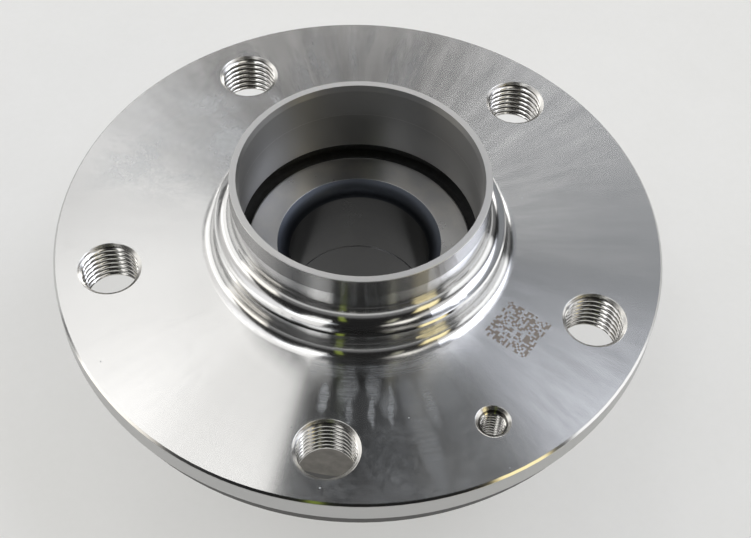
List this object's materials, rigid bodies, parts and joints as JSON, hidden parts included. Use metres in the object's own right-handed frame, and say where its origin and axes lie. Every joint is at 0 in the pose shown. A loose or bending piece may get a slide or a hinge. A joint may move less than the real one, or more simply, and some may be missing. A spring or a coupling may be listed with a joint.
{
  "type": "wheel hub bearing",
  "caption": "Flanged wheel hub with a built-in double-row ball bearing, threaded bolt circle, stepped centring pilot and smooth axle bore.",
  "frame": {"origin": "centre of the inner rings' inboard face, on the axis of rotation, at the bottom of the part", "axes": "+Z along the axis of rotation, outboard towards the wheel; +X through the brake-disc screw hole"},
  "size_m": [0.1364, 0.1364, 0.0677],
  "materials": {
    "forged_hub_steel": "turned, lightly oiled",
    "bearing_steel": "ground",
    "ball_steel": "polished",
    "spring_steel": "blued",
    "cage_polyamide": "glass-filled natural polyamide",
    "seal_steel": "cold-rolled sheet",
    "seal_rubber": "moulded nitrile rubber",
    "encoder_rubber": "ferrite-filled rubber"
  },
  "bodies": {
    "axle_rings": {"inner_ring_outboard": "bearing_steel", "inner_ring_inboard": "bearing_steel", "inner_ring_clip": "spring_steel", "seal_inboard_slinger": "seal_steel"},
    "rotating_hub": {"wheel_hub": "forged_hub_steel", "bearing_outer_ring": "bearing_steel", "bearing_snap_ring": "spring_steel", "seal_outboard_case": "seal_steel", "seal_outboard_lip": "seal_rubber", "seal_inboard_case": "seal_steel", "seal_inboard_lip": "seal_rubber", "encoder_carrier": "seal_steel", "encoder_magnet_ring": "encoder_rubber"},
    "cage_outboard": {"ball_cage_outboard": "cage_polyamide"},
    "cage_inboard": {"ball_cage_inboard": "cage_polyamide"},
    "ball_outboard_01": {"ball_outboard_01": "ball_steel"},
    "ball_outboard_02": {"ball_outboard_02": "ball_steel"},
    "ball_outboard_03": {"ball_outboard_03": "ball_steel"},
    "ball_outboard_04": {"ball_outboard_04": "ball_steel"},
    "ball_outboard_05": {"ball_outboard_05": "ball_steel"},
    "ball_outboard_06": {"ball_outboard_06": "ball_steel"},
    "ball_outboard_07": {"ball_outboard_07": "ball_steel"},
    "ball_outboard_08": {"ball_outboard_08": "ball_steel"},
    "ball_outboard_09": {"ball_outboard_09": "ball_steel"},
    "ball_outboard_10": {"ball_outboard_10": "ball_steel"},
    "ball_outboard_11": {"ball_outboard_11": "ball_steel"},
    "ball_outboard_12": {"ball_outboard_12": "ball_steel"},
    "ball_inboard_01": {"ball_inboard_01": "ball_steel"},
    "ball_inboard_02": {"ball_inboard_02": "ball_steel"},
    "ball_inboard_03": {"ball_inboard_03": "ball_steel"},
    "ball_inboard_04": {"ball_inboard_04": "ball_steel"},
    "ball_inboard_05": {"ball_inboard_05": "ball_steel"},
    "ball_inboard_06": {"ball_inboard_06": "ball_steel"},
    "ball_inboard_07": {"ball_inboard_07": "ball_steel"},
    "ball_inboard_08": {"ball_inboard_08": "ball_steel"},
    "ball_inboard_09": {"ball_inboard_09": "ball_steel"},
    "ball_inboard_10": {"ball_inboard_10": "ball_steel"},
    "ball_inboard_11": {"ball_inboard_11": "ball_steel"},
    "ball_inboard_12": {"ball_inboard_12": "ball_steel"}
  },
  "joints": [
    {"name": "hub_spin", "type": "hinge", "parent": "axle_rings", "child": "rotating_hub", "pos_m": [0, 0, 0.0225], "axis": [0, 0, 1], "continuous": true},
    {"name": "cage_outboard_spin", "type": "hinge", "parent": "axle_rings", "child": "cage_outboard", "pos_m": [0, 0, 0.0315], "axis": [0, 0, 1], "continuous": true},
    {"name": "cage_inboard_spin", "type": "hinge", "parent": "axle_rings", "child": "cage_inboard", "pos_m": [0, 0, 0.0135], "axis": [0, 0, 1], "continuous": true},
    {"name": "ball_outboard_01_spin", "type": "hinge", "parent": "cage_outboard", "child": "ball_outboard_01", "pos_m": [0.028, 0, 0.0315], "axis": [0.5878, 0, 0.809], "continuous": true},
    {"name": "ball_outboard_02_spin", "type": "hinge", "parent": "cage_outboard", "child": "ball_outboard_02", "pos_m": [0.02425, 0.014, 0.0315], "axis": [0.509, 0.2939, 0.809], "continuous": true},
    {"name": "ball_outboard_03_spin", "type": "hinge", "parent": "cage_outboard", "child": "ball_outboard_03", "pos_m": [0.014, 0.02425, 0.0315], "axis": [0.2939, 0.509, 0.809], "continuous": true},
    {"name": "ball_outboard_04_spin", "type": "hinge", "parent": "cage_outboard", "child": "ball_outboard_04", "pos_m": [0, 0.028, 0.0315], "axis": [0, 0.5878, 0.809], "continuous": true},
    {"name": "ball_outboard_05_spin", "type": "hinge", "parent": "cage_outboard", "child": "ball_outboard_05", "pos_m": [-0.014, 0.02425, 0.0315], "axis": [-0.2939, 0.509, 0.809], "continuous": true},
    {"name": "ball_outboard_06_spin", "type": "hinge", "parent": "cage_outboard", "child": "ball_outboard_06", "pos_m": [-0.02425, 0.014, 0.0315], "axis": [-0.509, 0.2939, 0.809], "continuous": true},
    {"name": "ball_outboard_07_spin", "type": "hinge", "parent": "cage_outboard", "child": "ball_outboard_07", "pos_m": [-0.028, 0, 0.0315], "axis": [-0.5878, 0, 0.809], "continuous": true},
    {"name": "ball_outboard_08_spin", "type": "hinge", "parent": "cage_outboard", "child": "ball_outboard_08", "pos_m": [-0.02425, -0.014, 0.0315], "axis": [-0.509, -0.2939, 0.809], "continuous": true},
    {"name": "ball_outboard_09_spin", "type": "hinge", "parent": "cage_outboard", "child": "ball_outboard_09", "pos_m": [-0.014, -0.02425, 0.0315], "axis": [-0.2939, -0.509, 0.809], "continuous": true},
    {"name": "ball_outboard_10_spin", "type": "hinge", "parent": "cage_outboard", "child": "ball_outboard_10", "pos_m": [0, -0.028, 0.0315], "axis": [0, -0.5878, 0.809], "continuous": true},
    {"name": "ball_outboard_11_spin", "type": "hinge", "parent": "cage_outboard", "child": "ball_outboard_11", "pos_m": [0.014, -0.02425, 0.0315], "axis": [0.2939, -0.509, 0.809], "continuous": true},
    {"name": "ball_outboard_12_spin", "type": "hinge", "parent": "cage_outboard", "child": "ball_outboard_12", "pos_m": [0.02425, -0.014, 0.0315], "axis": [0.509, -0.2939, 0.809], "continuous": true},
    {"name": "ball_inboard_01_spin", "type": "hinge", "parent": "cage_inboard", "child": "ball_inboard_01", "pos_m": [0.02705, 0.00725, 0.0135], "axis": [-0.5678, -0.1521, 0.809], "continuous": true},
    {"name": "ball_inboard_02_spin", "type": "hinge", "parent": "cage_inboard", "child": "ball_inboard_02", "pos_m": [0.0198, 0.0198, 0.0135], "axis": [-0.4156, -0.4156, 0.809], "continuous": true},
    {"name": "ball_inboard_03_spin", "type": "hinge", "parent": "cage_inboard", "child": "ball_inboard_03", "pos_m": [0.00725, 0.02705, 0.0135], "axis": [-0.1521, -0.5678, 0.809], "continuous": true},
    {"name": "ball_inboard_04_spin", "type": "hinge", "parent": "cage_inboard", "child": "ball_inboard_04", "pos_m": [-0.00725, 0.02705, 0.0135], "axis": [0.1521, -0.5678, 0.809], "continuous": true},
    {"name": "ball_inboard_05_spin", "type": "hinge", "parent": "cage_inboard", "child": "ball_inboard_05", "pos_m": [-0.0198, 0.0198, 0.0135], "axis": [0.4156, -0.4156, 0.809], "continuous": true},
    {"name": "ball_inboard_06_spin", "type": "hinge", "parent": "cage_inboard", "child": "ball_inboard_06", "pos_m": [-0.02705, 0.00725, 0.0135], "axis": [0.5678, -0.1521, 0.809], "continuous": true},
    {"name": "ball_inboard_07_spin", "type": "hinge", "parent": "cage_inboard", "child": "ball_inboard_07", "pos_m": [-0.02705, -0.00725, 0.0135], "axis": [0.5678, 0.1521, 0.809], "continuous": true},
    {"name": "ball_inboard_08_spin", "type": "hinge", "parent": "cage_inboard", "child": "ball_inboard_08", "pos_m": [-0.0198, -0.0198, 0.0135], "axis": [0.4156, 0.4156, 0.809], "continuous": true},
    {"name": "ball_inboard_09_spin", "type": "hinge", "parent": "cage_inboard", "child": "ball_inboard_09", "pos_m": [-0.00725, -0.02705, 0.0135], "axis": [0.1521, 0.5678, 0.809], "continuous": true},
    {"name": "ball_inboard_10_spin", "type": "hinge", "parent": "cage_inboard", "child": "ball_inboard_10", "pos_m": [0.00725, -0.02705, 0.0135], "axis": [-0.1521, 0.5678, 0.809], "continuous": true},
    {"name": "ball_inboard_11_spin", "type": "hinge", "parent": "cage_inboard", "child": "ball_inboard_11", "pos_m": [0.0198, -0.0198, 0.0135], "axis": [-0.4156, 0.4156, 0.809], "continuous": true},
    {"name": "ball_inboard_12_spin", "type": "hinge", "parent": "cage_inboard", "child": "ball_inboard_12", "pos_m": [0.02705, -0.00725, 0.0135], "axis": [-0.5678, 0.1521, 0.809], "continuous": true}
  ],
  "couplings": [
    {"joint": "cage_outboard_spin", "follows": "hub_spin", "ratio": 0.59174},
    {"joint": "cage_inboard_spin", "follows": "hub_spin", "ratio": 0.59174},
    {"joint": "ball_outboard_01_spin", "follows": "hub_spin", "ratio": 2.1305},
    {"joint": "ball_outboard_02_spin", "follows": "hub_spin", "ratio": 2.1305},
    {"joint": "ball_outboard_03_spin", "follows": "hub_spin", "ratio": 2.1305},
    {"joint": "ball_outboard_04_spin", "follows": "hub_spin", "ratio": 2.1305},
    {"joint": "ball_outboard_05_spin", "follows": "hub_spin", "ratio": 2.1305},
    {"joint": "ball_outboard_06_spin", "follows": "hub_spin", "ratio": 2.1305},
    {"joint": "ball_outboard_07_spin", "follows": "hub_spin", "ratio": 2.1305},
    {"joint": "ball_outboard_08_spin", "follows": "hub_spin", "ratio": 2.1305},
    {"joint": "ball_outboard_09_spin", "follows": "hub_spin", "ratio": 2.1305},
    {"joint": "ball_outboard_10_spin", "follows": "hub_spin", "ratio": 2.1305},
    {"joint": "ball_outboard_11_spin", "follows": "hub_spin", "ratio": 2.1305},
    {"joint": "ball_outboard_12_spin", "follows": "hub_spin", "ratio": 2.1305},
    {"joint": "ball_inboard_01_spin", "follows": "hub_spin", "ratio": 2.1305},
    {"joint": "ball_inboard_02_spin", "follows": "hub_spin", "ratio": 2.1305},
    {"joint": "ball_inboard_03_spin", "follows": "hub_spin", "ratio": 2.1305},
    {"joint": "ball_inboard_04_spin", "follows": "hub_spin", "ratio": 2.1305},
    {"joint": "ball_inboard_05_spin", "follows": "hub_spin", "ratio": 2.1305},
    {"joint": "ball_inboard_06_spin", "follows": "hub_spin", "ratio": 2.1305},
    {"joint": "ball_inboard_07_spin", "follows": "hub_spin", "ratio": 2.1305},
    {"joint": "ball_inboard_08_spin", "follows": "hub_spin", "ratio": 2.1305},
    {"joint": "ball_inboard_09_spin", "follows": "hub_spin", "ratio": 2.1305},
    {"joint": "ball_inboard_10_spin", "follows": "hub_spin", "ratio": 2.1305},
    {"joint": "ball_inboard_11_spin", "follows": "hub_spin", "ratio": 2.1305},
    {"joint": "ball_inboard_12_spin", "follows": "hub_spin", "ratio": 2.1305}
  ]
}
